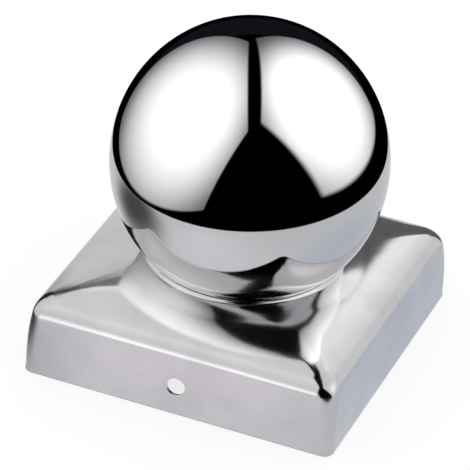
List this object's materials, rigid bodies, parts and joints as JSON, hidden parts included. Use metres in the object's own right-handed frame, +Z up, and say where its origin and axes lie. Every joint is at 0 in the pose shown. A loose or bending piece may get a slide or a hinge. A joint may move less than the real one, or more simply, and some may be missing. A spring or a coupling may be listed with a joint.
{
  "type": "ball post cap",
  "caption": "Pressed stainless steel cap for a square fence post, its low hipped roof crowned by a hollow mirror-polished ball.",
  "frame": {"origin": "centre of the open foot, on the plane of its rim", "axes": "+Z up through the ball; -Y and +Y point out of the two faces that have screw holes"},
  "size_m": [0.0944, 0.0944, 0.0996],
  "materials": {
    "cap": "satin",
    "ball": "polished"
  },
  "bodies": {
    "root": {"cap": "cap", "ball": "ball"}
  },
  "joints": []
}
